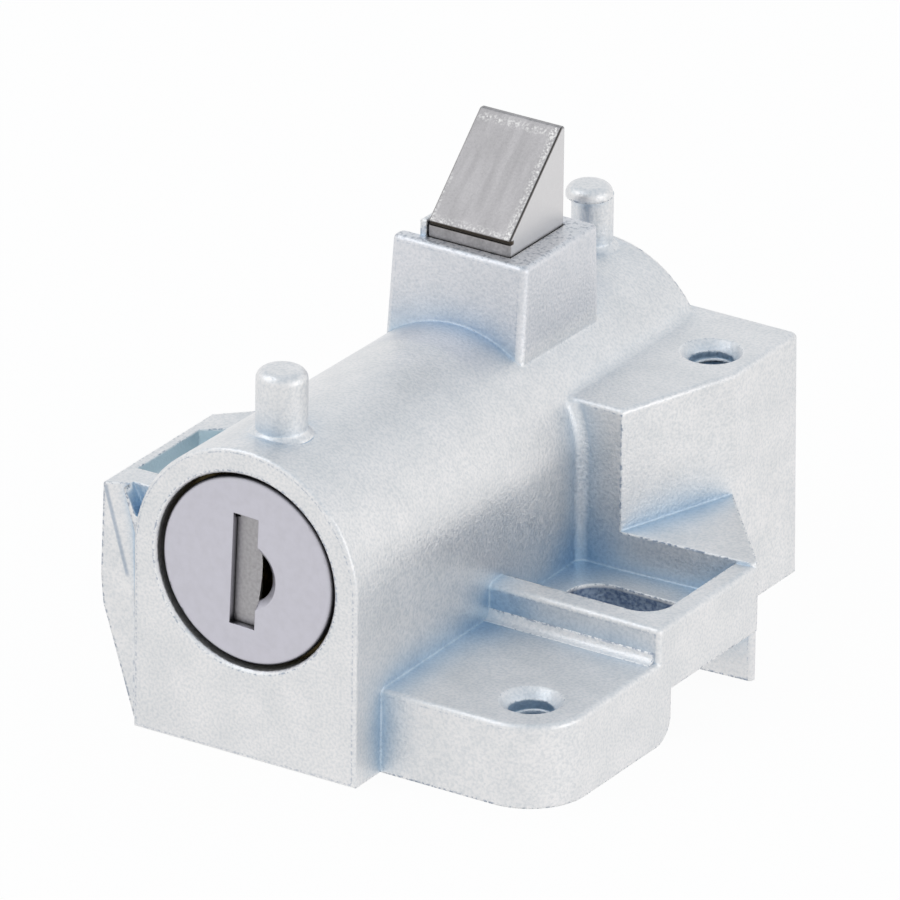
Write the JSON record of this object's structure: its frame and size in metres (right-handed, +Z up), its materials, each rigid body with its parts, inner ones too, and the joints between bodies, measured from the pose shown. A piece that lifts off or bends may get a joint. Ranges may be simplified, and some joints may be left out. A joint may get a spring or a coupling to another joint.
{
  "type": "e-bike battery lock",
  "caption": "Die-cast key lock for an e-bike battery: a cylinder in an arched nose draws a slanted spring bolt into its tower.",
  "frame": {"origin": "on the base face, under the axis of the front pin", "axes": "+Y back from the keyed nose along the cylinder, +Z up out of the base towards the pins, +X to the right as seen from the nose"},
  "size_m": [0.038, 0.0525, 0.0391],
  "materials": {
    "zinc_casting": "zinc-plated die casting, satin with a fine grain",
    "sintered_steel": "satin sintered steel",
    "disc_steel": "satin",
    "shutter_steel": "satin",
    "sleeve_brass": "machined",
    "plug_brass": "machined",
    "wafer_brass": "stamped",
    "pin_steel": "ground",
    "plated_steel": "zinc plated",
    "spring_steel": "drawn wire"
  },
  "bodies": {
    "housing": {"housing": "zinc_casting", "cylinder_sleeve": "sleeve_brass", "sleeve_pin": "pin_steel", "base_cover": "plated_steel", "cover_screws": "plated_steel", "bolt_spring": "spring_steel"},
    "plug": {"plug": "plug_brass", "face_disc": "disc_steel", "crank": "sintered_steel", "crank_washer": "plated_steel", "crank_screw": "plated_steel", "shutter_spring": "spring_steel", "wafer_spring_1": "spring_steel", "wafer_spring_2": "spring_steel", "wafer_spring_3": "spring_steel", "wafer_spring_4": "spring_steel", "wafer_spring_5": "spring_steel", "wafer_spring_6": "spring_steel"},
    "driver": {"bolt_driver": "sintered_steel"},
    "bolt": {"bolt": "sintered_steel"},
    "shutter": {"keyway_shutter": "shutter_steel"},
    "wafer_1": {"wafer_1": "wafer_brass"},
    "wafer_2": {"wafer_2": "wafer_brass"},
    "wafer_3": {"wafer_3": "wafer_brass"},
    "wafer_4": {"wafer_4": "wafer_brass"},
    "wafer_5": {"wafer_5": "wafer_brass"},
    "wafer_6": {"wafer_6": "wafer_brass"}
  },
  "joints": [
    {"name": "plug_turn", "type": "hinge", "parent": "housing", "child": "plug", "pos_m": [0, 0.01, 0.0154], "axis": [0, 1, 0], "range_deg": [0, 90]},
    {"name": "driver_slide", "type": "slide", "parent": "housing", "child": "driver", "axis": [0, 0, -1], "range_m": [0, 0.00781]},
    {"name": "bolt_slide", "type": "slide", "parent": "driver", "child": "bolt", "axis": [0, 0, -1], "range_m": [0, 0.0078], "stiffness_N_per_m": 300, "springref_m": -0.008, "deforming": ["bolt_spring"]},
    {"name": "shutter_swing", "type": "hinge", "parent": "plug", "child": "shutter", "pos_m": [-0.00185, -0.00372, 0.01546], "axis": [0.0349, 0, 0.9994], "range_deg": [0, 75], "stiffness_Nm_per_rad": 0.0002, "springref_deg": -28.65},
    {"name": "wafer_1_slide", "type": "slide", "parent": "plug", "child": "wafer_1", "axis": [0, 0, 1], "range_m": [0, 0.0008], "stiffness_N_per_m": 60, "deforming": ["wafer_spring_1"]},
    {"name": "wafer_2_slide", "type": "slide", "parent": "plug", "child": "wafer_2", "axis": [0, 0, -1], "range_m": [0, 0.0008], "stiffness_N_per_m": 60, "deforming": ["wafer_spring_2"]},
    {"name": "wafer_3_slide", "type": "slide", "parent": "plug", "child": "wafer_3", "axis": [0, 0, 1], "range_m": [0, 0.0008], "stiffness_N_per_m": 60, "deforming": ["wafer_spring_3"]},
    {"name": "wafer_4_slide", "type": "slide", "parent": "plug", "child": "wafer_4", "axis": [0, 0, -1], "range_m": [0, 0.0008], "stiffness_N_per_m": 60, "deforming": ["wafer_spring_4"]},
    {"name": "wafer_5_slide", "type": "slide", "parent": "plug", "child": "wafer_5", "axis": [0, 0, 1], "range_m": [0, 0.0008], "stiffness_N_per_m": 60, "deforming": ["wafer_spring_5"]},
    {"name": "wafer_6_slide", "type": "slide", "parent": "plug", "child": "wafer_6", "axis": [0, 0, -1], "range_m": [0, 0.0008], "stiffness_N_per_m": 60, "deforming": ["wafer_spring_6"]}
  ],
  "couplings": [
    {"joint": "driver_slide", "follows": "plug_turn", "m_per_rad": 0.0049656}
  ]
}
